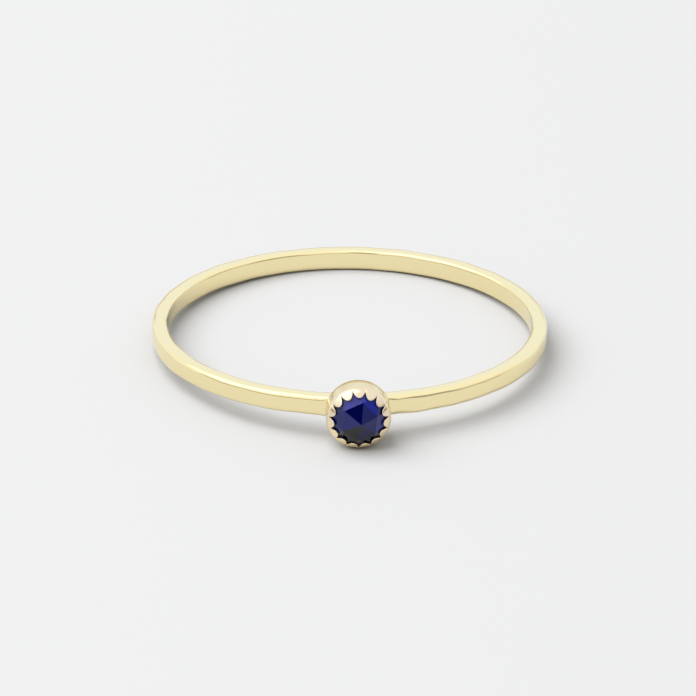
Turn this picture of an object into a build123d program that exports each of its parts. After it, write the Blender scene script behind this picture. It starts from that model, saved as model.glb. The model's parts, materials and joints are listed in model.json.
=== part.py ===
"""Stackable ring: a slim gold band with one round rose-cut stone in a scalloped bezel.

The ring lies on its side, as it rests by itself: the bezel is wider than the band is high, so the
bezel touches the surface at the front (-Y) and the band touches it opposite, at the back (+Y).

Two pieces are written, in millimetres:
  ring_metal   the band, the bezel and its base disc, soldered into one solid
  stone        the rose-cut stone inside the bezel, a hair clear of the metal

Both are built about the finger axis (Z), with the bezel towards -Y, and then leaned into the
resting pose. The bezel and the stone are built about their own axis first, with Z away from the
finger and height 0 at the underside of the base disc.
"""

from build123d import *
from math import asin, atan2, cos, degrees, hypot, pi, radians, sin
import os

# ---- driving dimensions, mm -------------------------------------------------------------------
FINGER_RADIUS = 8.65         # inside radius of the band, ring size US 7
BAND_THICKNESS = 0.75        # radial
BAND_HEIGHT = 1.0            # along the finger
OUTER_CORNER = 0.22          # rounding of the band's outer edges
INNER_CORNER = 0.15          # rounding of the band's inner edges

BEZEL_RADIUS = 1.52          # outside radius of the bezel's straight wall
BEZEL_FLOOR = 0.30           # thickness of its base disc
BASE_ROUND = 0.40            # rounding of the base disc's rim
LEDGE_RADIUS = 1.05          # inside of the ledge that the stone sits on
LEDGE_HEIGHT = 0.61
POCKET_RADIUS = 1.36         # pocket that holds the stone
SHOULDER_HEIGHT = 1.12       # where the straight wall starts to bend over the stone
LIP_ROUND = 0.55             # radius of that bend
LIP_BEND = 48                # degrees that it turns through; past it the lip is straight
LIP_STRAIGHT = 0.246         # length of that straight end
NOTCH_BEND = 29.5            # degrees round the bend where the notches between the scallops end
LIP_WALL = 0.07              # thickness of the lip's straight end
SCALLOPS = 15
NOTCH_LEAN = 0.15            # how far a notch's sides part, for each unit of height, at its foot

SOLDER_SINK = 0.10           # how deep the base disc is let into the band
SOLDER_HALF_WIDTH = 1.15     # half width of the solder seat, along the band
SOLDER_DEPTH = 0.30          # how far the seat reaches down into the band
SOLDER_ROUND = 0.06          # rounding of the seat's upright edges

GIRDLE_RADIUS = 1.30         # the stone's round outline
GIRDLE_LOW = 0.90            # heights above the underside of the base disc
GIRDLE_HIGH = 1.35
TABLE_HEIGHT = 2.14          # the tiny flat that tops the six star facets
PEAK_HEIGHT = 2.163          # where those facets would meet
PEAK_SHIFT = 0.10            # the hand-cut star's peak sits this far off centre, sideways
STAR_CORNERS = (             # where the star's facets end, a little uneven as it is cut by hand
    # degrees anticlockwise from the right, distance from the stone's axis, height
    (18, 0.88, 1.79),
    (79, 0.98, 1.72),
    (140, 0.90, 1.79),
    (209, 0.88, 1.79),
    (268, 0.95, 1.75),
    (325, 0.95, 1.75),
)
BACK_RADIUS = 1.20           # the stone's flat back
BACK_HEIGHT = 0.65

# ---- worked out from those --------------------------------------------------------------------
BAND_OUTER_RADIUS = FINGER_RADIUS + BAND_THICKNESS
BEZEL_SEAT = BAND_OUTER_RADIUS - SOLDER_SINK      # from the finger axis to the bezel's underside


def rest_lean():
    """Degrees of lean with the bezel's base rim and the far edge of the band on the surface."""
    drop = (BEZEL_RADIUS - BASE_ROUND) - (BAND_HEIGHT / 2 - OUTER_CORNER)
    reach = (BEZEL_SEAT + BASE_ROUND) + (BAND_OUTER_RADIUS - OUTER_CORNER)
    # drop * cos(lean) - reach * sin(lean) = OUTER_CORNER - BASE_ROUND
    return degrees(atan2(drop, reach) - asin((OUTER_CORNER - BASE_ROUND) / hypot(drop, reach)))


def rest_height():
    """Height of the band's centre over the surface, in the resting pose."""
    lean = radians(rest_lean())
    return (
        (BAND_OUTER_RADIUS - OUTER_CORNER) * sin(lean)
        + (BAND_HEIGHT / 2 - OUTER_CORNER) * cos(lean)
        + OUTER_CORNER
    )


def make_band():
    """The hoop: a rectangle with rounded corners, turned about the finger axis."""
    section = Pos(FINGER_RADIUS + BAND_THICKNESS / 2, 0) * Rectangle(BAND_THICKNESS, BAND_HEIGHT)
    section = fillet(section.vertices().sort_by(Axis.X)[:2], INNER_CORNER)
    section = fillet(section.vertices().sort_by(Axis.X)[-2:], OUTER_CORNER)
    return revolve(Plane.XZ * section, Axis.Z)


def make_solder_seat():
    """A block with the band's full height, which joins the band's rounded edges to the base disc."""
    top = BEZEL_SEAT + SOLDER_SINK / 2
    seat = Box(2 * SOLDER_HALF_WIDTH, SOLDER_DEPTH, BAND_HEIGHT)
    seat = fillet(seat.edges().filter_by(Axis.Y), SOLDER_ROUND)
    return Pos(0, -top + SOLDER_DEPTH / 2, 0) * seat


def lip_point(bend, depth=0.0, straight=0.0):
    """A point of the lip: degrees round its bend, depth under its outside, length past the bend."""
    turn = radians(bend)
    swing = LIP_ROUND - depth
    return (
        BEZEL_RADIUS - LIP_ROUND + swing * cos(turn) - straight * sin(turn),
        SHOULDER_HEIGHT + swing * sin(turn) + straight * cos(turn),
    )


NOTCH_HEIGHT = lip_point(NOTCH_BEND)[1]
TIP_RADIUS, TIP_HEIGHT = lip_point(LIP_BEND, straight=LIP_STRAIGHT)


def bezel_profile():
    """Half section of the bezel: base disc, ledge, straight wall and the lip that bends inwards."""
    underside = Line((0, 0), (BEZEL_RADIUS - BASE_ROUND, 0))
    base_rim = RadiusArc(
        (BEZEL_RADIUS - BASE_ROUND, 0), (BEZEL_RADIUS, BASE_ROUND), -BASE_ROUND
    )
    wall = Line((BEZEL_RADIUS, BASE_ROUND), (BEZEL_RADIUS, SHOULDER_HEIGHT))
    bend = ThreePointArc(
        (BEZEL_RADIUS, SHOULDER_HEIGHT), lip_point(LIP_BEND / 2), lip_point(LIP_BEND)
    )
    inside_tip = lip_point(LIP_BEND, LIP_WALL, LIP_STRAIGHT)
    inside_end = lip_point(LIP_BEND, LIP_WALL)
    lip_end = Polyline(lip_point(LIP_BEND), (TIP_RADIUS, TIP_HEIGHT), inside_tip, inside_end)
    half_wall = (LIP_WALL + BEZEL_RADIUS - POCKET_RADIUS) / 2
    inside_bend = ThreePointArc(
        inside_end, lip_point(LIP_BEND / 2, half_wall), (POCKET_RADIUS, SHOULDER_HEIGHT)
    )
    pocket = Polyline(
        (POCKET_RADIUS, SHOULDER_HEIGHT),
        (POCKET_RADIUS, LEDGE_HEIGHT),
        (LEDGE_RADIUS, LEDGE_HEIGHT),
        (LEDGE_RADIUS, BEZEL_FLOOR),
        (0, BEZEL_FLOOR),
        (0, 0),
    )
    return make_face([*underside.edges(), *base_rim.edges(), *wall.edges(), *bend.edges(),
                      *lip_end.edges(), *inside_bend.edges(), *pocket.edges()])


def make_notch():
    """The gap between two scallops: two round sides that meet in a narrow point at the notch's foot."""
    half = TIP_RADIUS * pi / SCALLOPS
    over = 2 * TIP_HEIGHT - NOTCH_HEIGHT
    foot = (0, NOTCH_HEIGHT)
    right = TangentArc(foot, (half, TIP_HEIGHT), tangent=(NOTCH_LEAN, 1))
    left = TangentArc(foot, (-half, TIP_HEIGHT), tangent=(-NOTCH_LEAN, 1))
    above = Polyline((half, TIP_HEIGHT), (half, over), (-half, over), (-half, TIP_HEIGHT))
    outline = make_face([*left.edges(), *right.edges(), *above.edges()])
    return extrude(Plane.XZ * outline, 1.2 * BEZEL_RADIUS)


def make_bezel():
    """The setting: a turned cup whose lip is notched into a row of round scallops."""
    cup = revolve(Plane.XZ * bezel_profile(), Axis.Z)
    notch = make_notch()
    half_step = 180 / SCALLOPS
    notches = [Rot(0, 0, half_step + 360 * n / SCALLOPS) * notch for n in range(SCALLOPS)]
    return cup - notches


def point_round(angle, radius, height, shift=0.0):
    """A point round the stone's axis, or round a line that is shifted sideways from it."""
    turn = radians(angle)
    return Vector(shift + radius * cos(turn), radius * sin(turn), height)


def make_stone():
    """A rose cut: six star facets under a tiny table, six triangles and twelve rim facets below."""
    sides = len(STAR_CORNERS)
    angles = [row[0] for row in STAR_CORNERS]
    gaps = [(angles[(n + 1) % sides] - angles[n]) % 360 for n in range(sides)]
    halfway = [angle + gap / 2 for angle, gap in zip(angles, gaps)]
    rim_radius = GIRDLE_RADIUS / cos(radians(max(gaps) / 4))

    peak = Vector(PEAK_SHIFT, 0, PEAK_HEIGHT)
    star = [point_round(*row) for row in STAR_CORNERS]
    under = [point_round(a, rim_radius, GIRDLE_HIGH) for a in angles]
    between = [point_round(a, rim_radius, GIRDLE_HIGH) for a in halfway]
    low_under = [point_round(a, rim_radius, GIRDLE_LOW) for a in angles]
    low_between = [point_round(a, rim_radius, GIRDLE_LOW) for a in halfway]
    back_under = [point_round(a, BACK_RADIUS, BACK_HEIGHT) for a in angles]
    back_between = [point_round(a, BACK_RADIUS, BACK_HEIGHT) for a in halfway]

    facets = []
    back = []
    for n in range(sides):
        m = (n + 1) % sides
        facets.append([peak, star[n], star[m]])
        facets.append([star[n], between[n], star[m]])
        facets.append([star[n], under[n], between[n]])
        facets.append([star[m], between[n], under[m]])
        facets.append([under[n], low_under[n], low_between[n], between[n]])
        facets.append([between[n], low_between[n], low_under[m], under[m]])
        facets.append([low_under[n], back_under[n], back_between[n], low_between[n]])
        facets.append([low_between[n], back_between[n], back_under[m], low_under[m]])
        back += [back_under[n], back_between[n]]
    facets.append(back)
    faces = [Face(Wire.make_polygon(corners, close=True)) for corners in facets]
    cut_stone = Solid(Shell(faces))
    outline = Pos(0, 0, TABLE_HEIGHT / 2) * Cylinder(GIRDLE_RADIUS, TABLE_HEIGHT)
    return cut_stone & outline


def seat_on_band(piece):
    """Takes a piece from the stone's axis (Z) to its seat on the front of the band."""
    return Pos(0, -BEZEL_SEAT, 0) * Rot(90, 0, 0) * piece


def lay_down(piece):
    """Leans a piece about X and lifts it, so that the ring lies on the surface at height 0."""
    return Pos(0, 0, rest_height()) * Rot(-rest_lean(), 0, 0) * piece


def main():
    metal = make_band() + make_solder_seat() + seat_on_band(make_bezel())
    stone = seat_on_band(make_stone())
    pieces = {"ring_metal": lay_down(metal), "stone": lay_down(stone)}

    whole = Compound(children=[Compound(list(p.solids())) for p in pieces.values()])
    box = whole.bounding_box()
    to_origin = Pos(-(box.min.X + box.max.X) / 2, -(box.min.Y + box.max.Y) / 2, 0)

    os.makedirs("parts", exist_ok=True)
    for name, piece in pieces.items():
        placed = to_origin * piece
        export_step(placed, f"parts/{name}.step")
        print(name, len(placed.solids()), "solid,", round(placed.volume, 3), "mm3")
    print("lean", round(rest_lean(), 3), "deg, band centre at",
          round(to_origin.position.Y, 4), round(rest_height(), 4), "mm")
    print("box", [round(v, 3) for v in (*box.min, *box.max)])


main()
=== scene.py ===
"""Looks for the stackable ring: polished gold, a deep blue rose-cut stone, floor, light and camera.

The metal is one closed mesh, made of a lightly hammered band and a scalloped bezel joined by a
union. Both are worked out in the ring's own millimetres: the finger axis is Z and the bezel points
to -Y, where its heights start at the underside of the base disc. The whole is then leaned and moved
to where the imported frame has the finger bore.
"""

import json
from math import atan2, cos, pi, radians, sin

import bmesh
import bpy
import numpy as np
from mathutils import Matrix, Vector


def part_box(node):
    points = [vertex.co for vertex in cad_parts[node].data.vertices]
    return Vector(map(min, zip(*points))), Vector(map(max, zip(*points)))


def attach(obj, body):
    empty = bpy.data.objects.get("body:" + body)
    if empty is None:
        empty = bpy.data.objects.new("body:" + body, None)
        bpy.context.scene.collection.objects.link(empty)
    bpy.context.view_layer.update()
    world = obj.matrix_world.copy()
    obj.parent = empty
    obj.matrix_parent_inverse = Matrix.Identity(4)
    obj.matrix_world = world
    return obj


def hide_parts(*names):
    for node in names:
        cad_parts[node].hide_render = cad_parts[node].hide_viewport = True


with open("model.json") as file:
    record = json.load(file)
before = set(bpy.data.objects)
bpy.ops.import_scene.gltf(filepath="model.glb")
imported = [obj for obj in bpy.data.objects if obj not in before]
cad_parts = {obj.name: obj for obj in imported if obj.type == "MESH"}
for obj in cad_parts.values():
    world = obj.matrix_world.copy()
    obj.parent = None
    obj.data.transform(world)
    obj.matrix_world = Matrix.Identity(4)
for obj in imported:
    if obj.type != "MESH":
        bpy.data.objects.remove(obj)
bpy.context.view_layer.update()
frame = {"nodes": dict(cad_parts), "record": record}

MM = 0.001
BORE = next(m for m in frame["record"]["mounts"] if m["name"] == "finger_bore")
METAL_LOW, METAL_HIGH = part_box("ring_metal")

# ---- the ring, in mm: the same sizes as the solids ---------------------------------------------
FINGER_RADIUS = BORE["dims"]["r_mm"]
BAND_OUTER_RADIUS = (METAL_HIGH[0] - METAL_LOW[0]) / 2 / MM
BAND_THICKNESS = BAND_OUTER_RADIUS - FINGER_RADIUS
INNER_CORNER = 0.15
OUTER_CORNER = 0.22
BAND_HEIGHT = BORE["dims"]["length_mm"] + 2 * INNER_CORNER

BEZEL_RADIUS = 1.52
BEZEL_FLOOR = 0.30
BASE_ROUND = 0.40
LEDGE_RADIUS = 1.05
LEDGE_HEIGHT = 0.61
POCKET_RADIUS = 1.36
SHOULDER_HEIGHT = 1.12       # where the straight wall starts to bend over the stone
LIP_ROUND = 0.55             # radius of that bend
LIP_BEND = radians(48)       # the angle that it turns through; past it the lip is straight
NOTCH_REACH = 0.283          # length along the lip, from the shoulder to the foot of the notches
TIP_REACH = 0.707            # and to the tips of the scallops
TIP_WALL = 0.06
SCALLOPS = 15
SOLDER_SINK = 0.10
BEZEL_SEAT = BAND_OUTER_RADIUS - SOLDER_SINK


# ---- small helpers ------------------------------------------------------------------------------
def ring_frame():
    """Takes the ring's own millimetres to the frame's metres."""
    lean = atan2(BORE["axis"][1], BORE["axis"][2])
    return (
        Matrix.Translation(BORE["pos_m"])
        @ Matrix.Rotation(-lean, 4, "X")
        @ Matrix.Scale(MM, 4)
    )


def smooth_step(x, low, high):
    """0 below low, 1 above high, with a soft ramp between."""
    t = np.clip((x - low) / (high - low), 0.0, 1.0)
    return t * t * (3 - 2 * t)


def ripple(angles, cycles, seed):
    """A smooth wave round the ring, from -1 to 1, mixed from a range of whole cycles."""
    rng = np.random.default_rng(seed)
    wave = np.zeros_like(angles)
    for n in range(cycles[0], cycles[1] + 1):
        wave += rng.normal() * np.cos(n * angles + rng.uniform(0, 2 * pi))
    return wave / np.abs(wave).max()


def grid_faces(rows, columns, close_rows=False):
    """Quads over a grid of rows by columns whose columns go all the way round."""
    faces = []
    last = rows if close_rows else rows - 1
    for i in range(last):
        k = (i + 1) % rows
        for j in range(columns):
            m = (j + 1) % columns
            faces.append((i * columns + j, i * columns + m, k * columns + m, k * columns + j))
    return faces


def new_object(name, points, faces):
    """An object in the scene whose faces all look outward."""
    mesh = bpy.data.meshes.new(name)
    mesh.from_pydata([tuple(p) for p in points], [], faces)
    mesh.validate()
    obj = bpy.data.objects.new(name, mesh)
    bpy.context.scene.collection.objects.link(obj)
    tidy = bmesh.new()
    tidy.from_mesh(mesh)
    bmesh.ops.recalc_face_normals(tidy, faces=tidy.faces)
    tidy.to_mesh(mesh)
    tidy.free()
    return obj


# ---- the band -----------------------------------------------------------------------------------
NEAR_BEZEL = radians(14)     # to either side of the bezel, where the stations are closer together
NEAR_STATIONS = 170
FAR_STATIONS = 620
DENT_DEPTH = 0.012           # how deep the hammering is on average; at most twice this
INSIDE_WEAR = 0.004          # the same for the inside, which is smoother
TILT = 0.012                 # how much the outer face leans up or down, as a slope
OUTER_CORNER_WANDER = 0.05   # how much the corners' radius varies
INNER_CORNER_WANDER = 0.02
SEAT_CRISPER = 0.14          # how much smaller the outer corners' radius is under the bezel
SEAT_ENDS = (1.1, 1.9)       # to either side: crisp up to the first, fully hammered past the second
FLARE_REACH = 0.07           # how far the solder creeps up the bezel's rounded base
FLARE_START = 1.20           # to either side, it is thickest up to here
FLARE_FADE = 0.12            # and dies down over about this length


def band_angles():
    """Stations round the band, closer together under the bezel. 0 is at the bezel."""
    near = np.linspace(-NEAR_BEZEL, NEAR_BEZEL, NEAR_STATIONS, endpoint=False)
    far = np.linspace(NEAR_BEZEL, 2 * pi - NEAR_BEZEL, FAR_STATIONS, endpoint=False)
    return np.concatenate([near, far])


def corner(centre_r, centre_z, radius, start, count=7):
    """Points of a quarter round of the band's section: each a radius and a height at every station."""
    turns = np.linspace(start, start + pi / 2, count)
    return [(centre_r + radius * cos(a), centre_z + radius * sin(a)) for a in turns]


def between(a, b, count):
    """Points evenly spaced between two corner points, without the ends."""
    steps = np.linspace(0, 1, count + 2)[1:-1]
    return [(a[0] + (b[0] - a[0]) * s, a[1] + (b[1] - a[1]) * s) for s in steps]


def make_band():
    """The hoop: a rounded rectangle whose sides and corners wander a little, as hammered wire does."""
    angle = band_angles()
    across = BAND_OUTER_RADIUS * np.sin(angle)
    front = np.cos(angle) > 0
    seat = (1 - smooth_step(np.abs(across), *SEAT_ENDS)) * front
    worked = 1 - seat

    outer = BAND_OUTER_RADIUS - DENT_DEPTH * worked * (1 + ripple(angle, (9, 34), 3))
    inner = FINGER_RADIUS + INSIDE_WEAR * worked * (1 + ripple(angle, (3, 11), 5))
    top = BAND_HEIGHT / 2 - DENT_DEPTH * worked * (1 + ripple(angle, (7, 30), 7))
    bottom = -BAND_HEIGHT / 2 + DENT_DEPTH * worked * (1 + ripple(angle, (7, 30), 11))
    tilt = TILT * worked * ripple(angle, (8, 28), 13)
    crisp = OUTER_CORNER - SEAT_CRISPER * seat
    round_top = crisp + OUTER_CORNER_WANDER * worked * ripple(angle, (10, 40), 17)
    round_low = crisp + OUTER_CORNER_WANDER * worked * ripple(angle, (10, 40), 19)
    round_in = INNER_CORNER + INNER_CORNER_WANDER * ripple(angle, (6, 20), 23)

    loop = []
    top_out = corner(outer - round_top, top - round_top, round_top, 0)
    top_in = corner(inner + round_in, top - round_in, round_in, pi / 2)
    low_in = corner(inner + round_in, bottom + round_in, round_in, pi)
    low_out = corner(outer - round_low, bottom + round_low, round_low, 3 * pi / 2)
    for here, after, count in (
        (top_out, top_in, 3), (top_in, low_in, 9), (low_in, low_out, 3), (low_out, top_out, 9),
    ):
        loop += here + between(here[-1], after[0], count)

    # the solder: beside the bezel the outer face rises to its wall
    gap = np.clip(np.abs(across) - FLARE_START, 0, None)
    climb = FLARE_REACH * np.exp(-gap / FLARE_FADE) * front
    rows = []
    for radius, height in loop:
        share = smooth_step(radius, FINGER_RADIUS + 0.5 * BAND_THICKNESS, BAND_OUTER_RADIUS)
        grown = radius + climb * share + tilt * height * share
        rows.append(np.stack([grown * np.sin(angle), -grown * np.cos(angle), height], axis=1))
    points = np.concatenate(rows)
    return new_object("band", points, grid_faces(len(loop), len(angle), close_rows=True))


# ---- the bezel ----------------------------------------------------------------------------------
PETAL_COLUMNS = 24
PETAL_SWELL = 0.018          # how far the creases between scallops are pressed in
PETAL_SHORTER = 0.04         # up to how much the scallops fall short of their full reach
LOBE_FLATNESS = 2.4          # exponents of the scallops' outline: 2 and 0.5 would be half an ellipse
LOBE_FULLNESS = 0.65
# how many rows of points each stretch has, and the radii of the rows on the flat discs
UNDERSIDE_ROWS = (0.25, 0.55, 0.85)
BASE_ROUND_ROWS = 10
WALL_ROWS = 8
LIP_ROWS = 18
EDGE_ROWS = 8
INSIDE_ROWS = 12
FLOOR_ROWS = (0.5, 0.2)


def make_bezel():
    """The cup: base disc, wall and fifteen round petals pressed over the stone."""
    share = np.sin(np.linspace(-pi / 2, pi / 2, PETAL_COLUMNS, endpoint=False))
    u = np.tile(share, SCALLOPS)
    step = 2 * pi / SCALLOPS
    petal = np.repeat(np.arange(SCALLOPS), PETAL_COLUMNS)
    phi = pi / 2 + step * (petal + 0.5 * u)

    # each petal is a round lobe, drawn on the bent sheet: its rim is a length along the lip
    rng = np.random.default_rng(29)
    reach = np.repeat(rng.uniform(-PETAL_SHORTER, 0, SCALLOPS), PETAL_COLUMNS)
    lobe = (1 - np.abs(u) ** LOBE_FLATNESS) ** LOBE_FULLNESS
    rim = NOTCH_REACH + (TIP_REACH - NOTCH_REACH + reach) * lobe
    crease = PETAL_SWELL * u**4

    # out along the base, up the outside, over the rim and down the inside, each a row of columns
    rows = []

    def row(radius, height):
        """A row of points round the bezel's axis, each size either one number or one a column."""
        radius = np.broadcast_to(radius, phi.shape)
        height = np.broadcast_to(height, phi.shape)
        rows.append(np.stack([radius * np.cos(phi), -(BEZEL_SEAT + height), radius * np.sin(phi)],
                             axis=1))

    def lip_row(length, depth):
        """A row on the lip: a length up it from the shoulder, and a depth under its outside."""
        bend = np.minimum(length / LIP_ROUND, LIP_BEND)
        straight = np.maximum(length - LIP_ROUND * LIP_BEND, 0)
        swing = LIP_ROUND - depth
        row(BEZEL_RADIUS - LIP_ROUND + swing * np.cos(bend) - straight * np.sin(bend),
            SHOULDER_HEIGHT + swing * np.sin(bend) + straight * np.cos(bend))

    for radius in UNDERSIDE_ROWS:
        row(radius, 0.0)
    for turn in np.linspace(0, pi / 2, BASE_ROUND_ROWS):
        row(BEZEL_RADIUS - BASE_ROUND + BASE_ROUND * sin(turn), BASE_ROUND * (1 - cos(turn)))
    for height in np.linspace(BASE_ROUND, SHOULDER_HEIGHT, WALL_ROWS)[1:-1]:
        row(BEZEL_RADIUS, height)
    half_wall = TIP_WALL / 2
    edge = rim - half_wall
    for t in np.linspace(0, 1, LIP_ROWS):
        lip_row(edge * t, crease * smooth_step(t, 0.2, 1.0))
    for turn in np.linspace(0, pi, EDGE_ROWS)[1:]:
        lip_row(edge + half_wall * sin(turn), crease + half_wall * (1 - cos(turn)))
    for t in np.linspace(1, 0, INSIDE_ROWS)[1:]:
        wall = TIP_WALL * t + (BEZEL_RADIUS - POCKET_RADIUS) * (1 - t)
        lip_row(edge * t, wall + crease * smooth_step(t, 0.2, 1.0))
    row(POCKET_RADIUS, LEDGE_HEIGHT)
    row(LEDGE_RADIUS, LEDGE_HEIGHT)
    for radius in (LEDGE_RADIUS, *FLOOR_ROWS):
        row(radius, BEZEL_FLOOR)

    count = len(phi)
    points = np.concatenate(rows)
    faces = grid_faces(len(rows), count)
    base = (0.0, -BEZEL_SEAT, 0.0)
    floor = (0.0, -(BEZEL_SEAT + BEZEL_FLOOR), 0.0)
    points = np.concatenate([points, [base, floor]])
    base_point = len(points) - 2
    floor_point = len(points) - 1
    first_of_last = (len(rows) - 1) * count
    for j in range(count):
        m = (j + 1) % count
        faces.append((base_point, m, j))
        faces.append((floor_point, first_of_last + j, first_of_last + m))
    return new_object("bezel", points, faces)


# ---- joining ------------------------------------------------------------------------------------
CREASE = radians(45)         # where the metal turns more steeply than this, it shades as an edge


def join_metal(band, bezel):
    """One closed mesh of the two, as solder makes one body of them."""
    union = band.modifiers.new("seat_seam", "BOOLEAN")
    union.operation = "UNION"
    union.solver = "EXACT"
    union.object = bezel
    graph = bpy.context.evaluated_depsgraph_get()
    joined = bpy.data.meshes.new_from_object(band.evaluated_get(graph))
    joined.transform(ring_frame())
    for used in (band, bezel):
        bpy.data.objects.remove(used, do_unlink=True)
    obj = bpy.data.objects.new("gold_ring", joined)
    bpy.context.scene.collection.objects.link(obj)
    joined.shade_smooth()
    joined.set_sharp_from_angle(angle=CREASE)
    return obj


# ---- materials ----------------------------------------------------------------------------------
class Graph:
    """The nodes of a material or of the world, with short ways to add more."""

    def __init__(self, owner):
        owner.use_nodes = True
        self.nodes = owner.node_tree.nodes
        self.links = owner.node_tree.links

    def feed(self, socket, value):
        """Gives a socket another node's output, a number, a grey or a colour."""
        if isinstance(value, bpy.types.NodeSocket):
            self.links.new(value, socket)
        elif socket.type == "RGBA" and isinstance(value, (int, float)):
            socket.default_value = (value, value, value, 1)
        elif socket.type == "RGBA":
            socket.default_value = (*value, 1)
        else:
            socket.default_value = value

    def coordinates(self, kind):
        return self.nodes.new("ShaderNodeTexCoord").outputs[kind]

    def split(self, vector):
        node = self.nodes.new("ShaderNodeSeparateXYZ")
        self.feed(node.inputs[0], vector)
        return node.outputs["X"], node.outputs["Y"], node.outputs["Z"]

    def ramp(self, value, start, end, low=0.0, high=1.0):
        """Runs softly from low to high while the value runs from start to end."""
        node = self.nodes.new("ShaderNodeMapRange")
        node.interpolation_type = "SMOOTHSTEP"
        self.feed(node.inputs["Value"], value)
        for name, number in (("From Min", start), ("From Max", end), ("To Min", low), ("To Max", high)):
            node.inputs[name].default_value = number
        return node.outputs["Result"]

    def mixed(self, share, a, b):
        node = self.nodes.new("ShaderNodeMix")
        node.data_type = "RGBA"
        sockets = [s for s in node.inputs if s.type == "RGBA"]
        self.feed(node.inputs["Factor"], share)
        self.feed(sockets[0], a)
        self.feed(sockets[1], b)
        return next(s for s in node.outputs if s.type == "RGBA")

    def distance(self, where, point):
        node = self.nodes.new("ShaderNodeVectorMath")
        node.operation = "DISTANCE"
        self.feed(node.inputs[0], where)
        node.inputs[1].default_value = point
        return node.outputs["Value"]

    def noise(self, where, scale, detail):
        node = self.nodes.new("ShaderNodeTexNoise")
        node.inputs["Scale"].default_value = scale
        node.inputs["Detail"].default_value = detail
        self.feed(node.inputs["Vector"], where)
        return node.outputs["Fac"]

    def math(self, operation, a, b=0.0):
        node = self.nodes.new("ShaderNodeMath")
        node.operation = operation
        self.feed(node.inputs[0], a)
        self.feed(node.inputs[1], b)
        return node.outputs[0]

    def angle(self, up, right):
        """The angle of a direction, as a share of a full turn from -180 degrees."""
        share = self.nodes.new("ShaderNodeMapRange")
        share.inputs["From Min"].default_value = -pi
        share.inputs["From Max"].default_value = pi
        self.feed(share.inputs["Value"], self.math("ARCTAN2", up, right))
        return share.outputs["Result"]

    def sectors(self, share, table):
        """The colour of the row whose start, in degrees from -180, was passed last."""
        node = self.nodes.new("ShaderNodeValToRGB")
        node.color_ramp.interpolation = "CONSTANT"
        stops = node.color_ramp.elements
        stops.remove(stops[1])
        for start, colour in table:
            place = (start + 180) / 360
            stop = stops.new(place) if place else stops[0]
            stop.color = (*colour, 1)
        self.feed(node.inputs["Fac"], share)
        return node.outputs["Color"]


def new_material(name):
    made = bpy.data.materials.new(name)
    graph = Graph(made)
    return made, graph, graph.nodes["Principled BSDF"].inputs


BAND_GOLD = (0.93, 0.81, 0.47)
HIGH_PETALS = (0.84, 0.72, 0.53)  # the petals are paler and pinker than the band, the high ones painted darker against the bright light that they mirror
LOW_PETALS_PAINTED_LIGHT = (1.00, 0.83, 0.52)   # and the low ones painted lighter, to make up for the shaded floor that they mirror
WALL_SHADE_GOLD = (0.85, 0.71, 0.44)    # the bezel's wall, between the petals and its foot: painted shade, a little darker and warmer than the band
JOINT_SHADE_GOLD = (0.62, 0.41, 0.09)   # its foot and the band beside it: painted shade and painted reflection, a darker amber gold where the two meet
# where each tone starts to come in and where it is full, in mm behind the petals' tips
TO_SEAT = (1.78, 1.68)
TO_FOOT = (1.60, 1.54)
TO_WALL = (1.46, 1.10)
TO_PETALS = (0.75, 0.45)
TO_SATIN = (1.3, 0.9)
SEAT_MIDDLE = 1.6
BESIDE_BEZEL = (1.64, 1.53)       # the same, in mm from the middle of the seat
LOW_TO_HIGH = (0.3, 2.2)          # and in mm above the floor
ROUGHNESS = (0.03, 0.11)          # from the best polished places to the dullest
SATIN_ROUGHNESS = 0.09            # added to it at the bezel's front
POLISH_BUMP = 0.008               # height of the polishing marks, in mm
# how fine the blotches of polish, the polishing marks and the clouds in the stone are, per metre
SMEARS = 900
MARKS = 1500
CLOUDS = 1400


def gold_material():
    """Polished pale yellow gold, with the faint unevenness that a polishing wheel leaves, and painted
    shade and light in its colour round the bezel.
    """
    made, graph, shader = new_material("polished_gold")
    shader["Metallic"].default_value = 1.0
    place = graph.coordinates("Object")
    _, y, z = graph.split(place)
    tips = METAL_LOW[1]

    def behind_tips(distances, high=1.0):
        start, end = distances
        return graph.ramp(y, tips + start * MM, tips + end * MM, high=high)

    seat = (0.0, tips + SEAT_MIDDLE * MM, METAL_LOW[2] + BEZEL_RADIUS * MM)
    beside = graph.ramp(graph.distance(place, seat), *(d * MM for d in BESIDE_BEZEL))
    # painted shade and painted reflection: the band beside the seat and the bezel's foot take the
    # darker amber gold
    seat_seam = graph.math("MULTIPLY", beside, behind_tips(TO_SEAT))
    joint_shade = graph.math("MAXIMUM", seat_seam, behind_tips(TO_FOOT))
    gold = graph.mixed(joint_shade, BAND_GOLD, JOINT_SHADE_GOLD)
    # painted shade: the wall above the foot is a slightly darker, warmer gold than the band
    gold = graph.mixed(behind_tips(TO_WALL), gold, WALL_SHADE_GOLD)
    # painted light: the petals run from lighter low down to darker high up, evening out the light that
    # they mirror
    petals = graph.mixed(graph.ramp(z, *(h * MM for h in LOW_TO_HIGH)), LOW_PETALS_PAINTED_LIGHT, HIGH_PETALS)
    graph.feed(shader["Base Color"], graph.mixed(behind_tips(TO_PETALS), gold, petals))
    satin = behind_tips(TO_SATIN, high=SATIN_ROUGHNESS)
    polish = graph.ramp(graph.noise(place, SMEARS, detail=3), 0.0, 1.0, *ROUGHNESS)
    graph.feed(shader["Roughness"], graph.math("ADD", polish, satin))

    bump = graph.nodes.new("ShaderNodeBump")
    bump.inputs["Strength"].default_value = 0.25
    bump.inputs["Distance"].default_value = POLISH_BUMP * MM
    graph.feed(bump.inputs["Height"], graph.noise(place, MARKS, detail=2))
    graph.feed(shader["Normal"], bump.outputs["Normal"])
    return made
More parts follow.
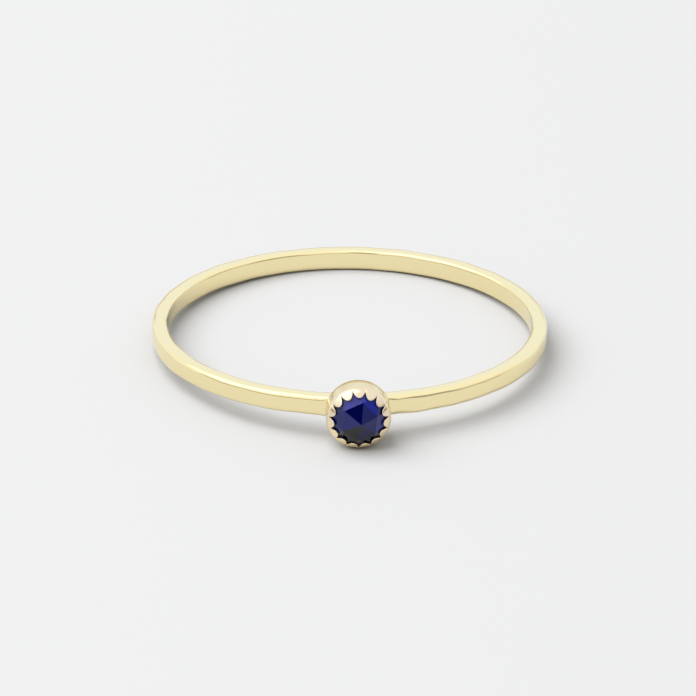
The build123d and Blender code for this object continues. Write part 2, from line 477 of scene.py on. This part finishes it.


# Painted light: the light that has gone round inside the stone is painted into the facets' colours,
# leaving some a brighter blue than others and some near black. Each row is a sector: where it starts,
# in degrees anticlockwise from the stone's right, and its colour.
STAR_COLOURS = (
    (-180, (0.002, 0.003, 0.002)),
    (-102, (0.004, 0.004, 0.055)),
    (-37, (0.001, 0.006, 0.110)),
    (24, (0.000, 0.004, 0.082)),
    (80, (0.000, 0.001, 0.041)),
    (134, (0.000, 0.004, 0.098)),
)
TRIANGLE_COLOURS = (
    (-180, (0.001, 0.003, 0.004)),
    (-102, (0.002, 0.003, 0.025)),
    (-37, (0.030, 0.034, 0.225)),
    (24, (0.002, 0.010, 0.220)),
    (80, (0.026, 0.026, 0.210)),
    (134, (0.000, 0.006, 0.095)),
)
RIM_COLOURS = (
    (-180, (0.010, 0.012, 0.080)),
    (-164, (0.030, 0.032, 0.070)),
    (-110, (0.070, 0.060, 0.080)),
    (-70, (0.070, 0.065, 0.110)),
    (-40, (0.030, 0.030, 0.160)),
    (20, (0.001, 0.005, 0.095)),
    (50, (0.002, 0.010, 0.200)),
    (108, (0.002, 0.006, 0.100)),
    (136, (0.030, 0.034, 0.095)),
)
# The facets of the star face the front most, then the triangles round it, then the rim. The Y of
# their normals has these gaps between the one ring and the next.
STAR_END = (-0.849, -0.834)
TRIANGLES_END = (-0.768, -0.757)
CLOUD_BLUE = (0.0, 0.002, 0.02)
CLOUD_EDGES = (0.40, 0.70)   # from this strength of the noise to that the clouds come in
CLOUD_SHARE = 0.30           # how much of the facet's own blue they hide


def stone_material():
    """Deep blue sapphire with polished facets, whose colours carry painted light from inside the stone.
    """
    made, graph, shader = new_material("blue_sapphire")
    shader["Roughness"].default_value = 0.02
    shader["IOR"].default_value = 1.50
    x, y, z = graph.split(graph.coordinates("Normal"))
    share = graph.angle(z, x)
    # painted light: each facet's blue is picked by the way that it faces
    blue = graph.sectors(share, STAR_COLOURS)
    blue = graph.mixed(graph.ramp(y, *STAR_END), blue, graph.sectors(share, TRIANGLE_COLOURS))
    blue = graph.mixed(graph.ramp(y, *TRIANGLES_END), blue, graph.sectors(share, RIM_COLOURS))
    clouds = graph.noise(graph.coordinates("Object"), CLOUDS, detail=2)
    cloudy = graph.ramp(clouds, *CLOUD_EDGES, high=CLOUD_SHARE)
    graph.feed(shader["Base Color"], graph.mixed(cloudy, blue, CLOUD_BLUE))
    return made


FLOOR_GREY = (0.408, 0.408, 0.409)


def floor_material():
    """Matt grey, which the light turns into the pale ground."""
    made, graph, shader = new_material("pale_floor")
    graph.feed(shader["Base Color"], FLOOR_GREY)
    shader["Roughness"].default_value = 0.9
    shader["Specular IOR Level"].default_value = 0.0
    return made


# ---- stage --------------------------------------------------------------------------------------
CAMERA_ELEVATION = 26.0      # degrees above the floor
CAMERA_AZIMUTH = -2.6
CAMERA_ROLL = 0.65
CAMERA_DISTANCE = 0.45
VIEW_WIDTH = 0.03308         # what the picture takes in, at the ring
AIM_RIGHT = -0.00007         # from the band's centre to the middle of the picture
AIM_BELOW = 0.00086


def make_floor():
    corners = [(-1, -1, 0), (1, -1, 0), (1, 1, 0), (-1, 1, 0)]
    floor = new_object("floor", corners, [(0, 1, 2, 3)])
    floor.data.materials.append(floor_material())


def direction_to(azimuth, elevation):
    """A direction from degrees to the right of the front, and degrees above the floor."""
    across, up = radians(azimuth), radians(elevation)
    return Vector((sin(across) * cos(up), -cos(across) * cos(up), sin(up)))


def make_camera():
    """A long lens that looks down at the ring, from just left of its front."""
    back = direction_to(CAMERA_AZIMUTH, CAMERA_ELEVATION)
    turn = back.to_track_quat("Z", "Y").to_matrix() @ Matrix.Rotation(radians(CAMERA_ROLL), 3, "Z")
    right, up = turn.col[0], turn.col[1]
    aim = Vector(BORE["pos_m"]) + right * AIM_RIGHT - up * AIM_BELOW
    data = bpy.data.cameras.new("camera")
    data.sensor_width = 36
    data.lens = data.sensor_width * CAMERA_DISTANCE / VIEW_WIDTH
    data.clip_start = 0.01
    camera = bpy.data.objects.new("camera", data)
    camera.matrix_world = Matrix.Translation(aim + back * CAMERA_DISTANCE) @ turn.to_4x4()
    bpy.context.scene.collection.objects.link(camera)
    bpy.context.scene.camera = camera


# brightness and colour of the room, by direction
OVERHEAD = 1.05
LEFT_WALL = 1.10
RIGHT_WALL = 0.90
BACK_WALL = (0.97, 1.03, 1.14)
BACK_HORIZON = (0.62, 0.50, 0.30)
FRONT_HORIZON = (0.30, 0.22, 0.10)
# where each part of the room turns into the next, by the direction's X to the right, Y to the back
# or Z upwards
LEFT_TO_RIGHT = (-0.5, 0.6)             # X
MIDDLE_TO_SIDES = (0.15, 0.40)          # X, to either side
BACK_HORIZON_TO_WALL = (0.10, 0.30)     # Z
SIDES_TO_BACK = (0.1, 0.6)              # Y
WALLS_TO_OVERHEAD = (0.35, 0.75)        # Z
FRONT_HORIZON_TO_ROOM = (0.08, 0.24)    # Z
SIDES_TO_FRONT = (0.25, -0.05)          # Y
# spots darker or brighter than the rest: azimuth from the front to the right, elevation, the degrees
# from its middle where each starts to fade and where it ends, and its brightness
SPOTS = (
    (-12, 30, 6, 12, 0.01),
    (45, 16, 12, 24, 0.40),
    (-95, 60, 15, 40, 1.90),
)


def make_world():
    """A pale room, warm and darker low down in front and behind, with a few spots."""
    world = bpy.data.worlds.new("studio")
    bpy.context.scene.world = world
    graph = Graph(world)
    direction = graph.coordinates("Generated")
    x, y, z = graph.split(direction)
    walls = graph.mixed(graph.ramp(x, *LEFT_TO_RIGHT), LEFT_WALL, RIGHT_WALL)
    sideways = graph.math("ABSOLUTE", x)
    horizon = graph.mixed(graph.ramp(sideways, *MIDDLE_TO_SIDES), BACK_HORIZON, BACK_WALL)
    back = graph.mixed(graph.ramp(z, *BACK_HORIZON_TO_WALL), horizon, BACK_WALL)
    room = graph.mixed(graph.ramp(y, *SIDES_TO_BACK), walls, back)
    room = graph.mixed(graph.ramp(z, *WALLS_TO_OVERHEAD), room, OVERHEAD)
    front = graph.mixed(graph.ramp(z, *FRONT_HORIZON_TO_ROOM), FRONT_HORIZON, room)
    room = graph.mixed(graph.ramp(y, *SIDES_TO_FRONT), room, front)
    for azimuth, elevation, fades, ends, brightness in SPOTS:
        near = graph.nodes.new("ShaderNodeVectorMath")
        near.operation = "DOT_PRODUCT"
        graph.feed(near.inputs[0], direction)
        near.inputs[1].default_value = direction_to(azimuth, elevation)
        share = graph.ramp(near.outputs["Value"], cos(radians(ends)), cos(radians(fades)))
        room = graph.mixed(share, room, brightness)
    graph.feed(graph.nodes["Background"].inputs["Color"], room)


KEY_PLACE = Vector((-0.36, 0.03, 0.62))
KEY_SIZE = 0.80
KEY_WATTS = 8.0


def make_key_light():
    """A broad soft box, up to the left, for the shadow. The metal mirrors the room's bright spot
    there instead of its hard edges."""
    data = bpy.data.lights.new("soft_box", "AREA")
    data.shape = "SQUARE"
    data.size = KEY_SIZE
    data.energy = KEY_WATTS
    light = bpy.data.objects.new("soft_box", data)
    turn = KEY_PLACE.to_track_quat("Z", "Y").to_matrix().to_4x4()
    light.matrix_world = Matrix.Translation(KEY_PLACE) @ turn
    light.visible_glossy = False
    bpy.context.scene.collection.objects.link(light)


# ---- putting it together ------------------------------------------------------------------------
def main():
    metal = join_metal(make_band(), make_bezel())
    metal.data.materials.clear()
    metal.data.materials.append(gold_material())
    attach(metal, "root")
    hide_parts("ring_metal")

    stone = frame["nodes"]["stone"]
    stone.material_slots[0].material = stone_material()

    make_floor()
    make_world()
    make_key_light()
    make_camera()
    bpy.context.scene.view_settings.view_transform = "Standard"

    triangles = sum(len(p.vertices) - 2 for p in metal.data.polygons)
    check = bmesh.new()
    check.from_mesh(metal.data)
    open_edges = sum(1 for e in check.edges if len(e.link_faces) != 2)
    check.free()
    print("gold_ring:", triangles, "triangles,", open_edges, "open edges")


main()
